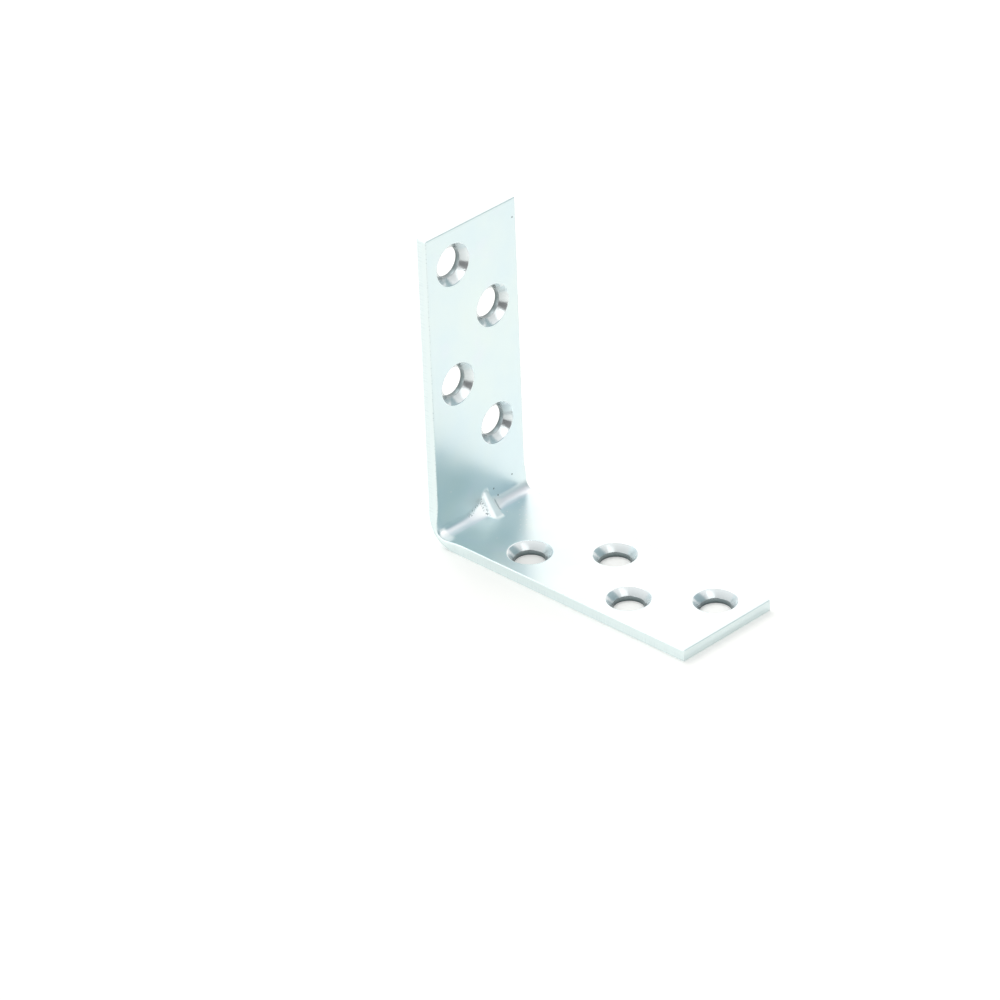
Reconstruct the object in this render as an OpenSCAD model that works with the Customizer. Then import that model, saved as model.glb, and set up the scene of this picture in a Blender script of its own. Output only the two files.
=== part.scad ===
// Angle bracket: a strip of steel sheet folded to a right angle, with a gusset pressed into
// the bend and two staggered rows of countersunk screw holes in each leg.
// It stands on its base leg. The origin lies under the middle of the part, on its underside.

/* [Sheet] */
// Length of the leg that lies flat, from the back of the upright leg
base_leg = 55; // [45:1:120]
// Height of the upright leg, from the underside of the base leg
upright_leg = 55; // [45:1:120]
// Width of the strip
strip_w = 20; // [18:0.5:40]
// Thickness of the sheet
sheet_t = 2; // [1.7:0.1:2.6]
// Radius inside the bend
inner_r = 1.5; // [0.8:0.1:2.5]
// Radius outside the bend, more than the inner one and the sheet, as the bend is drawn thin
outer_r = 5.5; // [4.5:0.1:6]
// Rounding of the edges all round the strip
edge_r = 0.15; // [0.1:0.05:0.5]
// How far the sides of the strip swell out at the inside of the bend
swell = 0.35; // [0.1:0.05:0.5]
// Depth of the swelling, from the inside of the bend into the sheet
swell_depth = 0.9; // [0.6:0.1:1.2]

/* [Screw holes] */
// Number of holes in each leg
holes_per_leg = 4; // [1:1:4]
// Diameter of the screw holes
hole_d = 5; // [3.5:0.1:5.8]
// Diameter of the countersinks at the inner face
sink_d = 7.2; // [6:0.1:7.6]
// Full angle of the countersinks
sink_angle = 90; // [80:1:100]
// From the outside of the bend to the first hole of each leg
first_hole = 16.6; // [13:0.1:19]
// From the last hole to the free end of each leg, with the holes between at equal steps
end_inset = 6.3; // [5:0.1:9]
// From the side edges of the strip to the two rows of holes
row_inset = 5.8; // [4.6:0.1:7]

/* [Gusset] */
// How far the crest of the gusset reaches along each leg from the inside corner
crest_reach = 3.7; // [3.4:0.1:5]
// Width of the crest
crest_w = 1.6; // [1.4:0.1:2.2]
// Rounding of the crest's two edges
crest_r = 0.5; // [0.4:0.05:0.6]
// Draft of the gusset's flanks
flank_draft = 20; // [10:1:25]
// Height at which the flanks run out into the shoulders, above the inside corner
shoulder_h = 1.3; // [1.15:0.05:1.4]
// Half width of the gusset's foot, where its shoulders meet the bend
foot_half_w = 3.8; // [3:0.1:4.5]
// Radius between flank and shoulder
blend_r = 0.8; // [0.4:0.1:1]
// From the middle of the strip to the crest, towards the far edge
crest_shift = 0.4; // [0:0.1:1.2]
// Depth of the dent that the punch leaves outside the bend
dent_depth = 1.6; // [0.8:0.1:1.9]
// Radius at the bottom of the dent
dent_r = 0.4; // [0.2:0.05:0.6]
// Full angle between the sides of the dent
dent_angle = 40; // [30:1:60]

/* [Hidden] */
$fn = 96;

// Overshoot of a cutter past the surface it cuts
over = 0.2;
// From the inside corner to the rounded surface inside the bend, along the bisector
inner_gap = inner_r * (sqrt(2) - 1);
// From the outside corner to the rounded surface outside the bend, along the bisector
outer_gap = outer_r * (sqrt(2) - 1);
// From the outside corner to the inside corner, along the bisector
corner_gap = sheet_t * sqrt(2);

// Step from hole to hole along a leg of a given length
function hole_step(length) = (length - first_hole - end_inset) / max(holes_per_leg - 1, 1);
// Depth of a countersink, and how much its cone widens over the overshoot
sink_h = (sink_d - hole_d) / 2 / tan(sink_angle / 2);
sink_spread = 2 * over * tan(sink_angle / 2);
// From the middle of the strip to each row of holes
row_y = strip_w / 2 - row_inset;

// The swollen sides are parts of a sphere on the axis of the bend: where it leaves the side, measured
// from that axis, how far its middle lies in from the side, and its radius
swell_reach = inner_r + swell_depth;
swell_sunk = (pow(swell_reach, 2) - pow(inner_r, 2) - pow(swell, 2)) / (2 * swell);
swell_r = norm([swell_sunk, swell_reach]);

// Height of the crest above the inside corner, along the bisector
crest_h = crest_reach / sqrt(2);
// Half width of the flat of the crest
crest_flat = crest_w / 2 - crest_r;
// Where the flank leaves the rounded edge of the crest: half width and height
flank_top = [crest_flat + crest_r * cos(flank_draft), crest_h - crest_r + crest_r * sin(flank_draft)];
// Where the flank meets the shoulder
shoulder = [flank_top[0] + (flank_top[1] - shoulder_h) * tan(flank_draft), shoulder_h];
// The shoulder runs out just under the rounded surface inside the bend
foot_sunk = 0.05;
foot = [foot_half_w, inner_gap - foot_sunk];
// Slope of the shoulder, and the angle of the air between it and the flank
shoulder_slope = atan((shoulder[1] - foot[1]) / (foot[0] - shoulder[0]));
blend_angle = 90 + flank_draft + shoulder_slope;
// From the flank's foot to where the blend touches flank and shoulder
blend_run = blend_r / tan(blend_angle / 2);
flank_touch = shoulder + blend_run * [-sin(flank_draft), cos(flank_draft)];
shoulder_touch = shoulder + blend_run * [cos(shoulder_slope), -sin(shoulder_slope)];
blend_middle = flank_touch + blend_r * [cos(flank_draft), sin(flank_draft)];
// Depth to which the gusset runs into the legs
crest_sunk = sheet_t / 2;

// Bottom of the dent, seen from the inside corner, and its half width at the outside corner
dent_h = outer_gap + dent_depth - corner_gap;
dent_low = -corner_gap - over;
dent_side = [dent_r * cos(dent_angle / 2), dent_h - dent_r + dent_r * sin(dent_angle / 2)];
dent_half_w = dent_side[0] + (dent_side[1] - dent_low) * tan(dent_angle / 2);

// Repeats its child on the other side of the plane x = z, which swaps the two legs
module swap_legs() {
    mirror([1, 0, -1])
        children();
}

// The L-shaped section of the folded strip
module section() {
    difference() {
        union() {
            square([base_leg, sheet_t]);
            square([sheet_t, upright_leg]);
            square(sheet_t + inner_r);
        }
        translate([sheet_t + inner_r, sheet_t + inner_r])
            circle(inner_r);
        difference() {
            translate([-over, -over])
                square(outer_r + over);
            translate([outer_r, outer_r])
                circle(outer_r);
        }
    }
}

// The folded strip with sharp edges, at a given width
module folded_strip(width) {
    rotate([90, 0, 0])
        linear_extrude(width, center = true)
            section();
}

// The metal that the fold squeezes out sideways at the inside of the bend
module swollen_sides() {
    half_w = strip_w / 2 + swell + over;
    for (side = [0, 1])
        mirror([0, side, 0])
            intersection() {
                translate([0, half_w / 2, 0])
                    folded_strip(half_w);
                translate([sheet_t + inner_r, strip_w / 2 - swell_sunk, sheet_t + inner_r])
                    sphere(swell_r);
            }
}

// What a rounded edge takes off a square corner that lies at the origin
module edge_waste() {
    difference() {
        translate([-over, -over])
            square(edge_r + over);
        translate([edge_r, edge_r])
            circle(edge_r);
    }
}

// Rounds the two long edges of one side of the upright leg
module leg_edges(length) {
    translate([0, -strip_w / 2, outer_r])
        linear_extrude(length - outer_r + over)
            edge_waste();
    translate([sheet_t, -strip_w / 2, sheet_t + inner_r])
        linear_extrude(length - sheet_t - inner_r + over)
            mirror([1, 0])
                edge_waste();
}

// Rounds the two curved edges of one side of the bend
module bend_edges() {
    translate([outer_r, 0, outer_r])
        rotate([90, 180, 0])
            rotate_extrude(angle = 90)
                translate([outer_r, strip_w / 2])
                    rotate(180)
                        edge_waste();
    translate([sheet_t + inner_r, 0, sheet_t + inner_r])
        rotate([90, 180, 0])
            rotate_extrude(angle = 90)
                translate([inner_r, strip_w / 2])
                    mirror([0, 1])
                        edge_waste();
}

// Rounds the end of the upright leg
module end_edges(length) {
    for (back = [0, 1])
        translate([back * sheet_t, strip_w / 2 + over, length])
            rotate([90, 0, 0])
                linear_extrude(strip_w + 2 * over)
                    rotate(-90 * (1 + back))
                        edge_waste();
    for (side = [0, 1])
        mirror([0, side, 0])
            translate([-over, -strip_w / 2, length])
                rotate([90, 0, 90])
                    linear_extrude(sheet_t + 2 * over)
                        rotate(-90)
                            edge_waste();
}

module rounded_edges() {
    for (side = [0, 1])
        mirror([0, side, 0]) {
            leg_edges(upright_leg);
            swap_legs()
                leg_edges(base_leg);
            bend_edges();
        }
    end_edges(upright_leg);
    swap_legs()
        end_edges(base_leg);
}

// One countersunk hole through the base leg, at the origin
module screw_hole() {
    translate([0, 0, -over])
        cylinder(h = sheet_t + 2 * over, d = hole_d);
    translate([0, 0, sheet_t - sink_h - over])
        cylinder(h = sink_h + 2 * over, d1 = hole_d - sink_spread, d2 = sink_d + sink_spread);
}

// The holes of one leg change sides at each step, and start on the side that is given
module staggered_holes(length, first_side) {
    for (i = [0:holes_per_leg - 1])
        translate([first_hole + i * hole_step(length), first_side * pow(-1, i) * row_y, 0])
            screw_hole();
}

// Lays a section across the bend: its x runs along the strip's width, its y along the bisector
// from the inside corner, and it is extruded to both sides along the crest
module across_bend(half_length) {
    translate([sheet_t, crest_shift, sheet_t])
        rotate([135, 0, 90])
            linear_extrude(2 * half_length, center = true)
                children();
}

// Fills the hollow between flank and shoulder with a radius
module blend() {
    difference() {
        polygon([shoulder, shoulder_touch, blend_middle, flank_touch]);
        translate(blend_middle)
            circle(blend_r);
    }
}

// Section of the gusset: a flat crest with rounded edges, steep flanks and low shoulders
module gusset_section() {
    hidden_h = crest_h - crest_r;
    polygon([[-crest_flat, hidden_h], [-crest_flat, crest_h], [crest_flat, crest_h], [crest_flat, hidden_h]]);
    polygon([[-foot[0], 0], [foot[0], 0], foot, shoulder, flank_top, [crest_flat, hidden_h], [-crest_flat, hidden_h],
             [-flank_top[0], flank_top[1]], [-shoulder[0], shoulder[1]], [-foot[0], foot[1]]]);
    for (side = [0, 1])
        mirror([side, 0]) {
            translate([crest_flat, hidden_h])
                circle(crest_r);
            blend();
        }
}

// The gusset, down to the middle of the sheet in both legs
module gusset() {
    intersection() {
        across_bend(crest_h + corner_gap)
            gusset_section();
        translate([crest_sunk, -strip_w / 2, crest_sunk])
            cube([crest_reach + 2 * sheet_t, strip_w, crest_reach + 2 * sheet_t]);
    }
}

// The dent that the punch leaves behind the gusset
module dent() {
    across_bend(outer_gap + dent_depth + over) {
        translate([0, dent_h - dent_r])
            circle(dent_r);
        polygon([[-dent_half_w, dent_low], [dent_half_w, dent_low], dent_side, [-dent_side[0], dent_side[1]]]);
    }
}

module bracket() {
    color("#d3e3e3")
        translate([-base_leg / 2, 0, 0])
            difference() {
                union() {
                    difference() {
                        folded_strip(strip_w);
                        rounded_edges();
                    }
                    swollen_sides();
                    gusset();
                }
                dent();
                staggered_holes(base_leg, -1);
                swap_legs()
                    staggered_holes(upright_leg, 1);
            }
}

bracket();
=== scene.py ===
import math

import bmesh
import bpy
from mathutils import Matrix, Quaternion, Vector


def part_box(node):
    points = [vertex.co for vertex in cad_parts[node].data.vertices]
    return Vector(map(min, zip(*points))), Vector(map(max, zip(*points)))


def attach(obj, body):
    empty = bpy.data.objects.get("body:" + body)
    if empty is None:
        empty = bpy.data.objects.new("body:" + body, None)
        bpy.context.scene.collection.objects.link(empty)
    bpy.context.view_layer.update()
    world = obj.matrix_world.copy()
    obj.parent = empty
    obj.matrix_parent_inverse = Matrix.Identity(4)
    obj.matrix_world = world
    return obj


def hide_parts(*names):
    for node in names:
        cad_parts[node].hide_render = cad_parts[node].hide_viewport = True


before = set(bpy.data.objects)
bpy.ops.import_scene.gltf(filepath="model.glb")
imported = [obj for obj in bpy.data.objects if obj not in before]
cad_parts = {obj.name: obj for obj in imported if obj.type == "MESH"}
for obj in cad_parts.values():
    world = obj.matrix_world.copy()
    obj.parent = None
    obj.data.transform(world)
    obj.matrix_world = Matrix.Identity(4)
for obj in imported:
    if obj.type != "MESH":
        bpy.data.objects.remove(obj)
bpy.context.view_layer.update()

# The bracket is one strip of 2 mm mild steel, sheared, pierced with eight round holes and then folded.
# Here it is still the flat blank. It lies along X with its inner face up and the middle of its bend at the
# origin, the base leg on the left and the upright leg on the right. Its sizes are in mm until it is done.
MM = 0.001
cad_low, cad_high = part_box("bracket")
base_leg = (cad_high.x - cad_low.x) / MM
upright_leg = (cad_high.z - cad_low.z) / MM
strip_w = 20.0
sheet_t = 2.0
inner_r = 1.5
outer_r = 5.5
bore_r = 2.5
sink_r = 3.6
sink_h = 1.1
holes_per_leg = 4
first_hole = 16.6
end_inset = 6.3
row_y = 4.2
side_y = strip_w / 2

# Half the length of strip that goes into the bend, along its inner face, its outer face and between
inner_arc = inner_r * math.pi / 4
inner_half = inner_arc + outer_r - sheet_t - inner_r
outer_half = outer_r * math.pi / 4
bend_half = (inner_half + outer_half) / 2

# The mesh is closest in the bend and under the punch, which hits just past the middle of the strip.
# The bands are narrow stretches along the strip's sides and ends, where the edges are rolled over.
crest_y = 0.4
flank_w = 2.0
foot_w = 4.1
punch_reach = 8.0
side_band = 0.8
end_band = 0.6


def flat(along):
    """Where a place on a leg, measured from the outside of the bend, lies on the flat strip."""
    return along - outer_r + bend_half


def hole_along(leg, i):
    """Where a hole lies on the flat strip: the holes stand at equal steps from the bend to the leg's end."""
    return flat(first_hole + i * (leg - first_hole - end_inset) / (holes_per_leg - 1))


def spaced(start, *stretches):
    """Places along a line, where each stretch has its end and the number of equal parts in it."""
    places = [start]
    for end, parts in stretches:
        begin = places[-1]
        places += [begin + (end - begin) * (i + 1) / parts for i in range(parts)]
    return places


def leg_rows(leg):
    """Rows of the mesh from the middle of the bend to a leg's end. Each hole has a square of its own."""
    stretches = [(bend_half, 30), (flat(punch_reach), 18), (flat(first_hole - row_y), 6)]
    for i in range(holes_per_leg):
        if i > 0:
            stretches.append((hole_along(leg, i) - row_y, 3))
        stretches.append((hole_along(leg, i) + row_y, 16))
    return spaced(0, *stretches, (flat(leg - end_band), 2), (flat(leg), 1))


rows = [-place for place in reversed(leg_rows(base_leg)[1:])] + leg_rows(upright_leg)
columns = spaced(-side_y, (side_band - side_y, 4), (-2 * row_y, 2), (crest_y - foot_w, 12),
                 (crest_y - flank_w, 12), (0, 20), (crest_y + flank_w, 30), (crest_y + foot_w, 12),
                 (2 * row_y, 8), (side_y - side_band, 2), (side_y, 4))

# What the work has done to each place of the metal, and where shade is painted on it, for the finish: its
# depth in the sheet, its place along the strip, and how much of it is pressed, torn in a bore and painted
# dark there as shade, on a sheared edge, frosted in the bend, in the band of dark specks, on the crest, on
# the line of painted shade beyond the far flank, strained round the gusset, in a countersink, or satin in
# the bend
strip = bmesh.new()
mark = {name: strip.verts.layers.float.new(name)
        for name in ("depth", "along", "pressed", "torn_bore_and_shade", "edge", "bend", "speck_band", "crest", "painted_crease_shade",
                     "strained", "sunk", "satin")}
bmesh.ops.create_grid(strip, x_segments=len(rows) - 1, y_segments=len(columns) - 1, size=0.5)
for vert in strip.verts:
    row = round((vert.co.x + 0.5) * (len(rows) - 1))
    column = round((vert.co.y + 0.5) * (len(columns) - 1))
    vert.co = (rows[row], columns[column], 0)

# Every hole is off the middle, near side and far side by turns, and the legs start on opposite sides
hole_places = []
for leg, leg_side, first_side in ((base_leg, -1, -1), (upright_leg, 1, 1)):
    for i in range(holes_per_leg):
        hole_places.append(Vector((leg_side * hole_along(leg, i), first_side * (-1) ** i * row_y, 0)))


def drawn_in(rim, centre, radius):
    """Extends a rim of edges to a circle round a hole's middle, and gives the circle's edges."""
    made = bmesh.ops.extrude_edge_only(strip, edges=rim)["geom"]
    ring = {item for item in made if isinstance(item, bmesh.types.BMVert)}
    for vert in ring:
        vert.co = centre + (vert.co - centre).normalized() * radius
    return [item for item in made if isinstance(item, bmesh.types.BMEdge) and ring.issuperset(item.verts)]


# Each hole is cut out of its square, with a narrow ring of metal left round its countersink
ring_w = 0.3
ground_r = sink_r + ring_w
for centre in hole_places:
    cut_out = {face for face in strip.faces
               if max(abs(axis) for axis in (face.calc_center_median() - centre)) < row_y}
    rim = [edge for face in cut_out for edge in face.edges
           if len(cut_out.intersection(edge.link_faces)) == 1]
    bmesh.ops.delete(strip, geom=list(cut_out), context="FACES")
    rim = drawn_in(rim, centre, ground_r)
    rim = drawn_in(rim, centre, sink_r)

bmesh.ops.recalc_face_normals(strip, faces=strip.faces)
if sum(face.normal.z for face in strip.faces) < 0:
    bmesh.ops.reverse_faces(strip, faces=strip.faces)

# Thickness: the pierced face is drawn down by the thickness of the sheet, and each hole is then
# straight from its outer end to the foot of the countersink, which the press forms from inside.
# What lies nearer than a hundredth, of a mm or of the sheet, counts as the same place.
near = 0.01
made = bmesh.ops.extrude_face_region(strip, geom=strip.faces[:])["geom"]
outer_face = [item for item in made if isinstance(item, bmesh.types.BMVert)]
bmesh.ops.translate(strip, verts=outer_face, vec=(0, 0, -sheet_t))
for vert in outer_face:
    for centre in hole_places:
        off = Vector((vert.co.x - centre.x, vert.co.y - centre.y, 0))
        if abs(off.length - sink_r) < near or abs(off.length - ground_r) < near:
            vert.co -= off.normalized() * (sink_r - bore_r)

# Only the walls of the holes slant by now, so they are longer than the sheet is thick
slanting = 0.1
walls = [edge for edge in strip.edges
         if edge.calc_length() > sheet_t + slanting and max(vert.co.z for vert in edge.verts) > -near
         and min(vert.co.z for vert in edge.verts) < near - sheet_t]
made = bmesh.ops.subdivide_edges(strip, edges=walls, cuts=1)["geom_inner"]
for vert in (item for item in made if isinstance(item, bmesh.types.BMVert)):
    centre = min(hole_places, key=lambda place: (vert.co - place).xy.length)
    off = (vert.co - centre).xy.normalized() * bore_r
    vert.co = (centre.x + off.x, centre.y + off.y, -sink_h)


def ring_edges(radius, level):
    """The edges of every circle of that radius round a hole, at that height."""
    found = []
    for centre in hole_places:
        for edge in strip.edges:
            spans = [vert.co - centre for vert in edge.verts]
            if all(abs(span.xy.length - radius) < 2 * near and abs(span.z - level) < 2 * near
                   for span in spans):
                found.append(edge)
    return found


def rounded(edges, radius, segments):
    """Rounds edges of the strip."""
    bmesh.ops.bevel(strip, geom=edges, offset=radius, offset_type="OFFSET", segments=segments, profile=0.5,
                    affect="EDGES", clamp_overlap=True, material=-1)


# Edges: shearing leaves the strip's edges rolled over, and the tools leave a fine radius round each hole.
# The strip's own edges are those where its faces turn by more than the square turn, in degrees.
rim_r = 0.1
throat_r = 0.08
edge_r = 0.15
square_turn = 80
rounded(ring_edges(sink_r, 0), rim_r, 2)
rounded(ring_edges(bore_r, -sheet_t), rim_r, 2)
rounded(ring_edges(bore_r, -sink_h), throat_r, 2)
outline = [edge for edge in strip.edges if edge.calc_face_angle() > math.radians(square_turn)
           and all(abs(vert.co.y) > side_y - near or not rows[0] + near < vert.co.x < rows[-1] - near
                   for vert in edge.verts)]
rounded(outline, edge_r, 3)

# The fold: the strip is bent to a right angle over the press tool. The sheet is drawn thin in the bend,
# so its inside has a radius of 1.5 mm and its outside one of 5.5 mm, with different centres. The metal
# squeezed at the inside swells out past both sides, and the tool leaves a facet at the bend's near end.
# The facet's focus is the power of the squeeze that keeps it to the inside of the bend.
swell = ((cad_high.y - cad_low.y) / MM - strip_w) / 2
swell_spread = 1.4
facet_w = 1.3
facet_h = 0.47
facet_focus = 12
inside_centre = Vector((sheet_t + inner_r, 0, sheet_t + inner_r))
outside_centre = Vector((outer_r, 0, outer_r))
corner = Vector((sheet_t, 0, sheet_t))
bisector = Vector((1, 0, 1)).normalized()

# Each pair says where a trace starts and where it is full. A turn is in degrees round the bend from the
# upright leg. The facet and the edges are in mm in from the strip's side, and the satin is in mm across
# from its middle. The bend's lower half is frosted, and beyond the gusset its upper half is satin. The
# torn skin of a bore begins at the foot of its countersink, and the slack takes in the rounded rims.
facet_turn = (5, 35)
facet_across = (1.5, 1.1)
frosted_turn = (25, 45)
frosted_depth = 0.06
satin_turn = (2, 10)
satin_end = (75, 50)
satin_across = (2.2, 3.4)
edge_across = (0.25, 0)
torn_blur = 0.15
sink_slack = 0.05
bore_slack = 0.12


def ramp(value, start, full):
    """From 0 at the start to 1 where it is full, and level on both sides of them."""
    return max(0, min(1, (value - start) / (full - start)))


def round_bend(centre, radius, run, leg_side):
    """A place on an arc that starts at the bisector and runs on along a leg after an eighth of a turn."""
    angle = min(run / radius, math.pi / 4)
    past = run - angle * radius
    turn = math.pi / 4 - angle
    across = centre.x - radius * math.sin(turn) + past
    height = centre.z - radius * math.cos(turn)
    return Vector((across, 0, height)) if leg_side < 0 else Vector((height, 0, across))


for vert in strip.verts:
    along, across = vert.co.x, vert.co.y
    depth = -vert.co.z / sheet_t
    deep = depth * sheet_t
    from_side = side_y - abs(across)
    from_rim = min(from_side, along - rows[0], rows[-1] - along)
    to_hole = min((vert.co - centre).xy.length for centre in hole_places)

    leg_side = 1 if along > 0 else -1
    bent = min(abs(along) / bend_half, 1)
    past = abs(along) - bent * bend_half
    inside = round_bend(inside_centre, inner_r, bent * inner_half + past, leg_side)
    outside = round_bend(outside_centre, outer_r, bent * outer_half + past, leg_side)
    vert.co = inside.lerp(outside, depth)

    from_bend = (vert.co - inside_centre).length - inner_r
    tilt = math.degrees(math.atan2(inside_centre.z - vert.co.z, inside_centre.x - vert.co.x))
    squeezed = math.exp(-(from_bend / swell_spread) ** 2)
    flattened = squeezed ** facet_focus * ramp(tilt, *facet_turn) if depth < 0.5 and across < 0 else 0
    if depth < near and from_side < facet_w:
        vert.co -= bisector * facet_h * (1 - from_side / facet_w) * flattened
    if from_side < edge_r + near:
        across += math.copysign(swell * squeezed, across)
    vert.co.y = across

    torn = ramp(deep, sink_h - torn_blur, sink_h + torn_blur)
    on_bend = math.exp(-(from_bend / frosted_depth) ** 2) if depth < 0.5 else 0
    in_upper = min(ramp(tilt, *satin_turn), ramp(tilt, *satin_end)) if depth < near else 0
    vert[mark["depth"]] = depth
    vert[mark["along"]] = along
    vert[mark["pressed"]] = flattened * ramp(from_side, *facet_across)
    # The bore's mark carries its torn skin and the shade painted dark inside it
    vert[mark["torn_bore_and_shade"]] = torn if to_hole < bore_r + bore_slack else 0
    vert[mark["edge"]] = ramp(from_rim, *edge_across)
    vert[mark["bend"]] = ramp(tilt, *frosted_turn) * on_bend
    vert[mark["sunk"]] = 1 if to_hole < sink_r + sink_slack and deep < sink_h + sink_slack else 0
    vert[mark["satin"]] = in_upper * ramp(across, *satin_across)

# The gusset: in the same stroke a punch drives the bend inward from outside. The metal rises inside as a
# flat crest, a little askew and wider at its lower end, with steep flanks and low shoulders that run out
# in the bend. The punch's edge leaves a deep dent behind it. Heights are along the bisector of the bend.
crest_reach = 3.55
crest_h = crest_reach / math.sqrt(2)
crest_flat = 0.25
crest_r = 0.5
crest_shift = 0.15
crest_skew = 0.13
skew_reach = 3
crest_flare = 0.7
flare_reach = 2.6
flank_lean = 20
flank_slope = 1 / math.tan(math.radians(flank_lean))
shoulder_h = 1.3
shoulder_start = 1.1
shoulder_slope = 0.27
shoulder_blend = 0.5
run_out = 0.35
dent_h = 1.05
dent_r = 0.4
dent_lean = 20
dent_slope = 1 / math.tan(math.radians(dent_lean))
dent_run_out = 0.12

# The traces of the punch and the painted shade, in mm across the crest or up it, or by how far the metal
# rises. They are pairs of a start and a full place again, or a middle and its blur. Dark specks lie along
# the near flank and on the gusset's near foot on the upright leg, the punch tints the crest, and a thin line
# of painted shade lies beyond the far flank.
gusset_ends = (4.3, 3.5)
least_rise = 1e-4
pressed_rise = (0, 0.5)
flank_rise = (0, 0.3)
flank_middle, flank_blur = -1.05, 0.3
foot_rise, foot_from = 0.12, -0.8
tint_near, tint_far = (-0.5, -0.25), (1.05, 0.85)
shade_line_middle, shade_line_blur = 1.95, 0.25
shade_line_up, shade_line_ends = -0.35, (1.2, 0.8)
strained_r = 6


def crest_top(off, top, level, radius, slope):
    """Height of a crest at a distance from its middle: level, then rounded, then a straight flank."""
    past = max(0, abs(off) - level)
    lean = math.atan(slope)
    touch = radius * math.sin(lean)
    if past < touch:
        return top - radius + math.sqrt(radius * radius - past * past)
    return top - radius + radius * math.cos(lean) - (past - touch) * slope


def soft_max(a, b, blend):
    """The higher of two heights, with a round transition between them."""
    share = ramp(a - b, -blend, blend)
    return b + (a - b) * share + blend * share * (1 - share)


for vert in strip.verts:
    on_inside = vert[mark["depth"]] < near
    on_outside = vert[mark["depth"]] > 1 - near
    height = (vert.co - corner).dot(bisector)
    up_crest = (vert.co.z - vert.co.x) / math.sqrt(2)
    off = vert.co.y - crest_y - crest_shift - crest_skew * max(-skew_reach, min(skew_reach, up_crest))
    flare = crest_flare * ramp(-up_crest, 0, flare_reach)
    crest_off = off if off < 0 else max(0, off - flare)
    raised = 0
    if on_inside:
        crest = crest_top(crest_off, crest_h, crest_flat, crest_r, flank_slope)
        shoulder = shoulder_h - max(0, abs(crest_off) - shoulder_start) * shoulder_slope
        raised = soft_max(height, soft_max(crest, shoulder, shoulder_blend), run_out) - height
    elif on_outside:
        raised = soft_max(height, crest_top(off, dent_h, 0, dent_r, dent_slope), dent_run_out) - height
    if abs(off) < gusset_ends[0] and raised > least_rise:
        faded = raised * ramp(abs(off), *gusset_ends)
        vert.co += bisector * faded
        vert[mark["pressed"]] = ramp(faded, *pressed_rise)
        if on_inside:
            flank = ramp(abs(off - flank_middle), flank_blur, 0) * ramp(raised, *flank_rise)
            foot = ramp(abs(raised - foot_rise), foot_rise, 0) if up_crest > 0 and off < foot_from else 0
            tint = min(ramp(crest_off, *tint_near), ramp(crest_off, *tint_far))
            in_shade_line = ramp(abs(up_crest - shade_line_up), *shade_line_ends)
            vert[mark["speck_band"]] = max(flank, foot)
            vert[mark["crest"]] = tint * ramp(raised, *flank_rise)
            # A thin line of painted shade beyond the far flank
            vert[mark["painted_crease_shade"]] = ramp(abs(off - shade_line_middle), shade_line_blur, 0) * in_shade_line
    if on_inside:
        around = (vert.co - corner - Vector((0, crest_y, 0))).length
        vert[mark["strained"]] = math.exp(-(around / strained_r) ** 4)

# The pressed metal is smoothed, as the punch leaves no sharp line, and the bracket is brought to its place
least_pressed = 0.02
smooth_rounds = 3
pressed_area = [vert for vert in strip.verts if vert[mark["pressed"]] > least_pressed]
for _ in range(smooth_rounds):
    bmesh.ops.smooth_vert(strip, verts=pressed_area, factor=0.5, use_axis_x=True, use_axis_y=True,
                          use_axis_z=True)
bmesh.ops.translate(strip, verts=strip.verts, vec=(-base_leg / 2, 0, 0))
bmesh.ops.scale(strip, verts=strip.verts, vec=(MM, MM, MM))

pressed_mesh = bpy.data.meshes.new("folded_bracket")
strip.to_mesh(pressed_mesh)
strip.free()
folded_bracket = bpy.data.objects.new("folded_bracket", pressed_mesh)
bpy.context.scene.collection.objects.link(folded_bracket)
pressed_mesh.shade_smooth()
even = folded_bracket.modifiers.new("even_shading", "WEIGHTED_NORMAL")
even.mode = "FACE_AREA"
even.weight = 60
even.keep_sharp = False
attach(folded_bracket, "root")
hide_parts("bracket")


# Bright zinc plate on steel, left blue-white by its passivation. It is a satin mirror, cold and a little
# green, with a faint cloudiness, a fine grain, a few pits, white specks painted as glints, and smoother
# countersinks. The bend and the gusset are frosted white, and the pierced bores and the sheared edges have
# a duller, torn skin. Shade is painted dark in the bores, in a line beyond the gusset's far flank and in
# dashes along the rolled rim.
def linear(tint):
    """Linear colour with alpha from an sRGB hex value such as e3f1f3."""
    parts = [int(tint[i:i + 2], 16) / 255 for i in (0, 2, 4)]
    return [c / 12.92 if c <= 0.04045 else ((c + 0.055) / 1.055) ** 2.4 for c in parts] + [1]


def add_node(tree, kind, inputs=None, output=0, **settings):
    """Adds a node with its settings. An input given as a socket is linked, and any other one is set."""
    node = tree.nodes.new(kind)
    for name, value in settings.items():
        setattr(node, name, value)
    for socket, value in (inputs or {}).items():
        if isinstance(value, bpy.types.NodeSocket):
            tree.links.new(value, node.inputs[socket])
        else:
            node.inputs[socket].default_value = value
    return node.outputs[output] if node.outputs else None


zinc = bpy.data.materials.new("bright_zinc_plate_on_steel")
zinc.use_nodes = True
tree = zinc.node_tree
tree.nodes.clear()
place = add_node(tree, "ShaderNodeTexCoord", output="Object")
field = {name: add_node(tree, "ShaderNodeAttribute", output="Fac", attribute_name=name) for name in mark}

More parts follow.
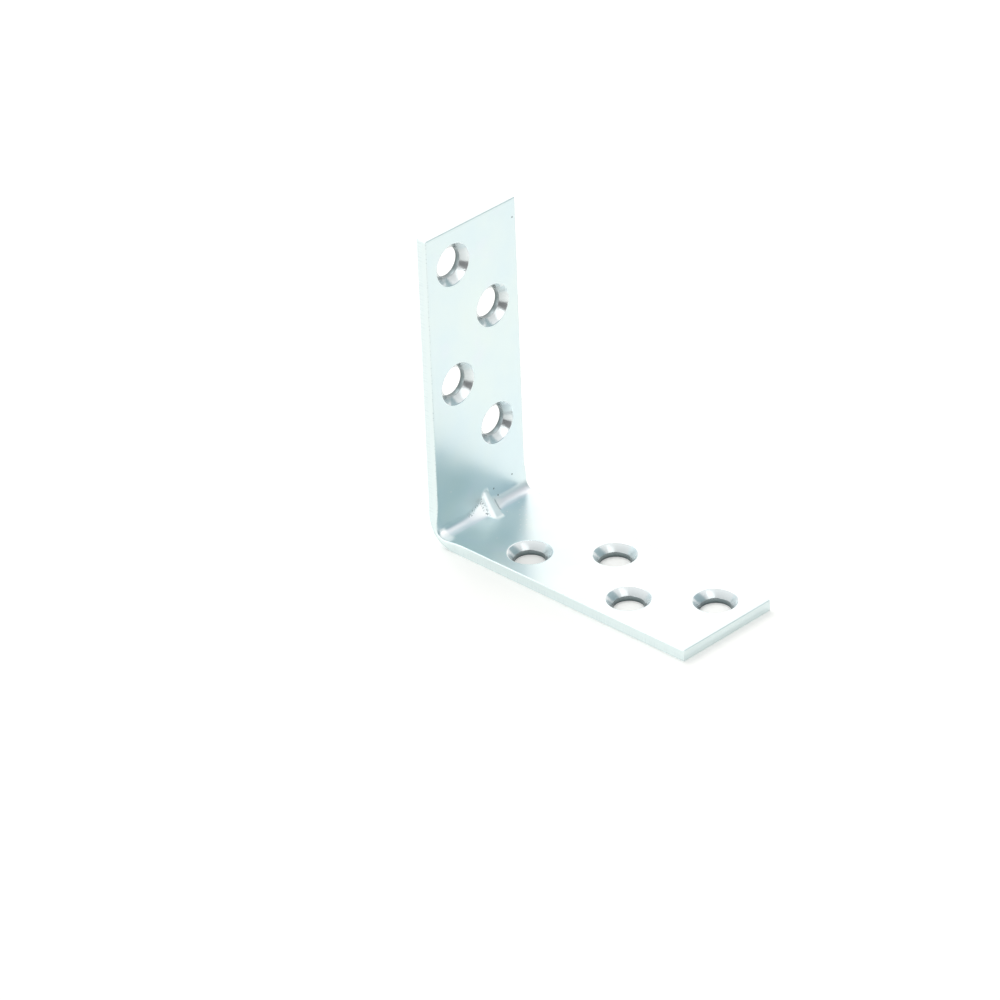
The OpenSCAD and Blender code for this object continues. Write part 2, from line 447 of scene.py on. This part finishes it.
# Patterns in the metal, with the size of their blotches in mm: soft clouds of the passivation, waves left
# by the rolling of the strip, the grain of the plating, drawn coarse enough to show, specks, and a scatter
# for the lumps of zinc, which are the nodules. The streaks run across the sheared edges.
for name, size, detail, seed in (("cloud", 11, 3, 0.0), ("small_cloud", 4.5, 3, 3.1), ("waves", 7, 1, 9.1),
                                 ("grain", 0.4, 2, 5.5), ("specks", 0.26, 1, 7.3), ("scatter", 6, 1, 2.4)):
    field[name] = add_node(tree, "ShaderNodeTexNoise", {"Vector": place, "W": seed, "Scale": 1 / (size * MM),
                                                        "Detail": detail}, noise_dimensions="4D")
streaks_per_mm = 3.2
nodule_size = 1.3
field["streaks"] = add_node(tree, "ShaderNodeTexNoise", {"W": field["along"], "Scale": streaks_per_mm,
                                                         "Detail": 3}, noise_dimensions="1D")
field["nodules"] = add_node(tree, "ShaderNodeTexVoronoi", {"Vector": place, "Scale": 1 / (nodule_size * MM)},
                            output="Distance")

# Each mask is a stretch of one of those values, brought to the range from 0 to 1
for name, source, low, high in (
        ("greenish", "cloud", 0.36, 0.64), ("violet", "small_cloud", 0.56, 0.8),
        ("dull", "small_cloud", 0.3, 0.7), ("frosted", "pressed", 0.05, 0.7),
        ("speckled", "specks", 0.5, 0.56), ("torn_half", "depth", 0.35, 0.6),
        ("streaked", "streaks", 0.45, 0.75), ("dashed", "streaks", 0.58, 0.64),
        ("rim", "depth", 0.1, 0.02), ("beside", "edge", 0.2, 0.6),
        ("lumps", "nodules", 0.16, 0.05), ("some", "scatter", 0.5, 0.62)):
    field[name] = add_node(tree, "ShaderNodeMapRange", {"Value": field[source], "From Min": low,
                                                        "From Max": high})
# The dashes along the rolled rim are painted shade
for name, first, second in (
        ("torn", "edge", "torn_half"), ("torn_streaks", "torn", "streaked"),
        ("rolled_rim", "beside", "rim"), ("rim_shade_dashes", "rolled_rim", "dashed"),
        ("dark_specks", "speck_band", "speckled"), ("sparse_lumps", "lumps", "some")):
    field[name] = add_node(tree, "ShaderNodeMath", {0: field[first], 1: field[second]},
                           operation="MULTIPLY")

# Colour, laid on in layers, each with its mask and its strength. The clouds run from blue to a faint green
# with a breath of violet. The gusset is frosted white, with dark specks on its near flank and foot and a
# line of painted shade beyond its far flank. The sheared edges are torn in their outer half, with dashes of
# painted shade along the rolled rim. The bores are torn too, and painted dark as shade inside the holes.
colour = linear("e0eff3")
for mask, strength, tint in (
        ("greenish", 1, "e6f2f1"), ("violet", 0.5, "e9eef7"), ("bend", 0.8, "f0f3f8"),
        ("frosted", 0.85, "fafdfd"), ("sunk", 0.7, "f6fafb"), ("crest", 0.85, "e9f4f5"),
        ("dark_specks", 0.85, "6a7c80"), ("painted_crease_shade", 0.7, "7f9598"), ("edge", 0.9, "e2eded"),
        ("torn_streaks", 0.3, "c8d6da"), ("rim_shade_dashes", 0.3, "94a9ac"), ("torn_bore_and_shade", 0.9, "465356")):
    amount = add_node(tree, "ShaderNodeMath", {0: field[mask], 1: strength}, operation="MULTIPLY")
    colour = add_node(tree, "ShaderNodeMix", {0: amount, 6: colour, 7: linear(tint)}, output=2,
                      data_type="RGBA")

# The metal of the satin bend and of the countersinks scatters a part of the light, as a matt skin does
metallic = 1.0
for mask, matt in (("satin", 0.75), ("sunk", 0.3)):
    metallic = add_node(tree, "ShaderNodeMath", {0: field[mask], 1: -matt, 2: metallic},
                        operation="MULTIPLY_ADD")

# Pits of the plating and white specks painted as glints, at their places in mm: across and up the upright
# leg's inner face, or along and across that of the base leg. Each is full in its core, which is a share of
# its radius.
spot_core = 0.4
spot_strength = 0.9
inner_x = sheet_t - base_leg / 2
dark_pits = [(inner_x, y, z) for y, z in ((9.23, 51.69), (7.07, 5.8), (2.8, 5.0), (3.7, 3.4))]
painted_glints = [(inner_x, -6.81, 8.65)]
painted_glints += [(x, y, sheet_t) for x, y in (
    (-17.91, -4.44), (-23.0, 5.9), (-21.2, 4.3), (-22.4, 2.6), (-21.6, 5.3), (-20.6, 5.2), (-20.2, 3.2),
    (-19.4, 3.8), (-19.0, 2.1), (-18.3, 2.8), (-17.9, 1.0), (-17.2, 1.6), (-16.9, -0.2))]
for spots, tint, radius in ((dark_pits, "53666a", 0.2), (painted_glints, "ffffff", 0.16)):
    for spot in spots:
        away = add_node(tree, "ShaderNodeVectorMath", {0: place, 1: [c * MM for c in spot]}, output="Value",
                        operation="DISTANCE")
        amount = add_node(tree, "ShaderNodeMapRange", {"Value": away, "From Min": radius * MM,
                                                       "From Max": spot_core * radius * MM,
                                                       "To Max": spot_strength})
        colour = add_node(tree, "ShaderNodeMix", {0: amount, 6: colour, 7: linear(tint)}, output=2,
                          data_type="RGBA")
        # The painted glints lose their metal, so that they show as plain white
        if spots is painted_glints:
            metallic = add_node(tree, "ShaderNodeMath", {0: metallic, 1: amount}, operation="SUBTRACT")

# Gloss: the plate is a blurred mirror, sharper in the countersinks and duller where it is worked or torn
gloss = 0.285
for mask, rise in (("dull", 0.03), ("sunk", -0.13), ("strained", 0.14), ("bend", 0.05), ("frosted", 0.02),
                   ("torn", 0.12), ("torn_bore_and_shade", 0.14)):
    gloss = add_node(tree, "ShaderNodeMath", {0: field[mask], 1: rise, 2: gloss}, operation="MULTIPLY_ADD")

# Relief, with heights in mm: shallow waves, the grain, lumps of plating here and there, and worked metal
worked = 0.0
for mask, share in (("frosted", 0.5), ("torn", 1.0), ("torn_bore_and_shade", 1.0)):
    worked = add_node(tree, "ShaderNodeMath", {0: field[mask], 1: share, 2: worked},
                      operation="MULTIPLY_ADD")
field["worked_grain"] = add_node(tree, "ShaderNodeMath", {0: worked, 1: field["specks"]},
                                 operation="MULTIPLY")
relief = None
for name, height in (("waves", 0.014), ("grain", 0.004), ("sparse_lumps", 0.01), ("worked_grain", 0.02)):
    inputs = {"Height": field[name], "Strength": 1, "Distance": height * MM}
    if relief:
        inputs["Normal"] = relief
    relief = add_node(tree, "ShaderNodeBump", inputs)
plate = add_node(tree, "ShaderNodeBsdfPrincipled", {"Base Color": colour, "Metallic": metallic,
                                                    "Roughness": gloss, "Normal": relief})
add_node(tree, "ShaderNodeOutputMaterial", {"Surface": plate})
folded_bracket.data.materials.append(zinc)


# The studio: a white paper sweep and white surroundings. A grey card to the right is painted shade for the
# unlit side of the studio, the unlit room lies low behind the camera, and a wall, a soft box and a stretch
# of ceiling are brighter than the rest. Only the metal sees these cards, as in any photograph of bright
# plate.
def seen_directly(tree):
    """1 for the rays that show the background, and 0 for those that only carry its light."""
    shown = 0.0
    for ray in ("Is Camera Ray", "Is Glossy Ray", "Is Transmission Ray"):
        of_kind = add_node(tree, "ShaderNodeLightPath", output=ray)
        shown = add_node(tree, "ShaderNodeMath", {0: of_kind, 1: shown}, operation="MAXIMUM")
    return shown


def stage_sheet(name, size_x, size_y, placing, material):
    """A flat sheet of the studio, which is no part of the bracket."""
    sheet = bmesh.new()
    bmesh.ops.create_grid(sheet, x_segments=1, y_segments=1, size=0.5)
    bmesh.ops.scale(sheet, verts=sheet.verts, vec=(size_x, size_y, 1))
    bmesh.ops.transform(sheet, verts=sheet.verts, matrix=placing)
    data = bpy.data.meshes.new(name)
    sheet.to_mesh(data)
    sheet.free()
    data.materials.append(material)
    made = bpy.data.objects.new(name, data)
    bpy.context.scene.collection.objects.link(made)
    return made


def studio_card(name, azimuth, elevation, wide, high, colour, strength=1.0, distance=0.7):
    """A glowing card round the bracket. Its angles are in degrees, and azimuth runs from +X towards +Y."""
    az, el = math.radians(azimuth), math.radians(elevation)
    outward = Vector((math.cos(az) * math.cos(el), math.sin(az) * math.cos(el), math.sin(el)))
    card_face = bpy.data.materials.new(name)
    card_face.use_nodes = True
    card_face.node_tree.nodes.clear()
    glow = add_node(card_face.node_tree, "ShaderNodeEmission", {"Color": linear(colour), "Strength": strength})
    add_node(card_face.node_tree, "ShaderNodeOutputMaterial", {"Surface": glow})
    size_x, size_y = (2 * distance * math.tan(math.radians(angle / 2)) for angle in (wide, high))
    turned = outward.to_track_quat("Z", "Y").to_matrix().to_4x4()
    card = stage_sheet(name, size_x, size_y, Matrix.Translation(outward * distance) @ turned, card_face)
    card.visible_camera = False
    card.visible_diffuse = False
    card.visible_shadow = False


sweep_size = 6
paper_lift = 0.19
paper = bpy.data.materials.new("white_paper_sweep")
paper.use_nodes = True
tree = paper.node_tree
tree.nodes.clear()
matt = add_node(tree, "ShaderNodeBsdfDiffuse", {"Color": linear("fdfdfa")})
lift = add_node(tree, "ShaderNodeMath", {0: seen_directly(tree), 1: paper_lift}, operation="MULTIPLY")
glow = add_node(tree, "ShaderNodeEmission", {"Color": linear("fdffff"), "Strength": lift})
both = add_node(tree, "ShaderNodeAddShader", {0: matt, 1: glow})
add_node(tree, "ShaderNodeOutputMaterial", {"Surface": both})
stage_sheet("floor", sweep_size, sweep_size, Matrix.Identity(4), paper)

light_level, white_level = 0.68, 1.0
world = bpy.data.worlds.new("white_studio")
bpy.context.scene.world = world
world.use_nodes = True
tree = world.node_tree
tree.nodes.clear()
level = add_node(tree, "ShaderNodeMapRange", {"Value": seen_directly(tree), "To Min": light_level,
                                              "To Max": white_level})
sky = add_node(tree, "ShaderNodeBackground", {"Color": linear("ffffff"), "Strength": level})
add_node(tree, "ShaderNodeOutputWorld", {"Surface": sky})

# A grey card as painted shade for the unlit right side of the studio
studio_card("grey_unlit_side_card", azimuth=50, elevation=20, wide=62, high=38, colour="8dabb2")
studio_card("dark_room", azimuth=-42, elevation=5, wide=46, high=50, colour="4c474b", distance=0.27)
studio_card("bright_wall", azimuth=132, elevation=32, wide=70, high=54, colour="fffaf7", strength=1.3)
studio_card("left_softbox", azimuth=-105, elevation=14, wide=50, high=26, colour="ffffff", strength=2.4)
studio_card("bright_ceiling", azimuth=-15, elevation=42, wide=36, high=26, colour="ffffff", strength=1.8)

# The key lamp is a soft light 0.6 m across. It hangs high up to the left of the bracket, a little behind
# it, and gives the bracket its faint shadow on the paper.
key = bpy.data.lights.new("soft_key", "AREA")
key.shape = "RECTANGLE"
key.size = 0.6
key.size_y = 0.6
key.energy = 2.8
key_lamp = bpy.data.objects.new("soft_key", key)
bpy.context.scene.collection.objects.link(key_lamp)
key_place = Vector((-0.5, 0.1, 0.75))
key_aim = Vector((0, 0, 0.02))
key_lamp.location = key_place
key_lamp.rotation_mode = "QUATERNION"
key_lamp.rotation_quaternion = (key_aim - key_place).to_track_quat("-Z", "Y")

# The camera looks down on the near side of the bracket through a long lens, turned a little clockwise.
# Its angles are in radians.
look_at = Vector((-12.11, -9.21, 13.41)) * MM
azimuth, elevation, roll = 0.7876, 0.5330, 0.0390
distance = 956.83 * MM
level_back = Vector((math.sin(azimuth), -math.cos(azimuth), 0))
back = level_back * math.cos(elevation) + Vector((0, 0, math.sin(elevation)))
lens = bpy.data.cameras.new("camera")
lens.sensor_width = 36
lens.lens = 219.0
lens.clip_start = 0.01
camera = bpy.data.objects.new("camera", lens)
bpy.context.scene.collection.objects.link(camera)
camera.location = look_at + back * distance
camera.rotation_mode = "QUATERNION"
camera.rotation_quaternion = (-back).to_track_quat("-Z", "Y") @ Quaternion((0, 0, 1), -roll)
bpy.context.scene.camera = camera
bpy.context.scene.view_settings.view_transform = "Standard"
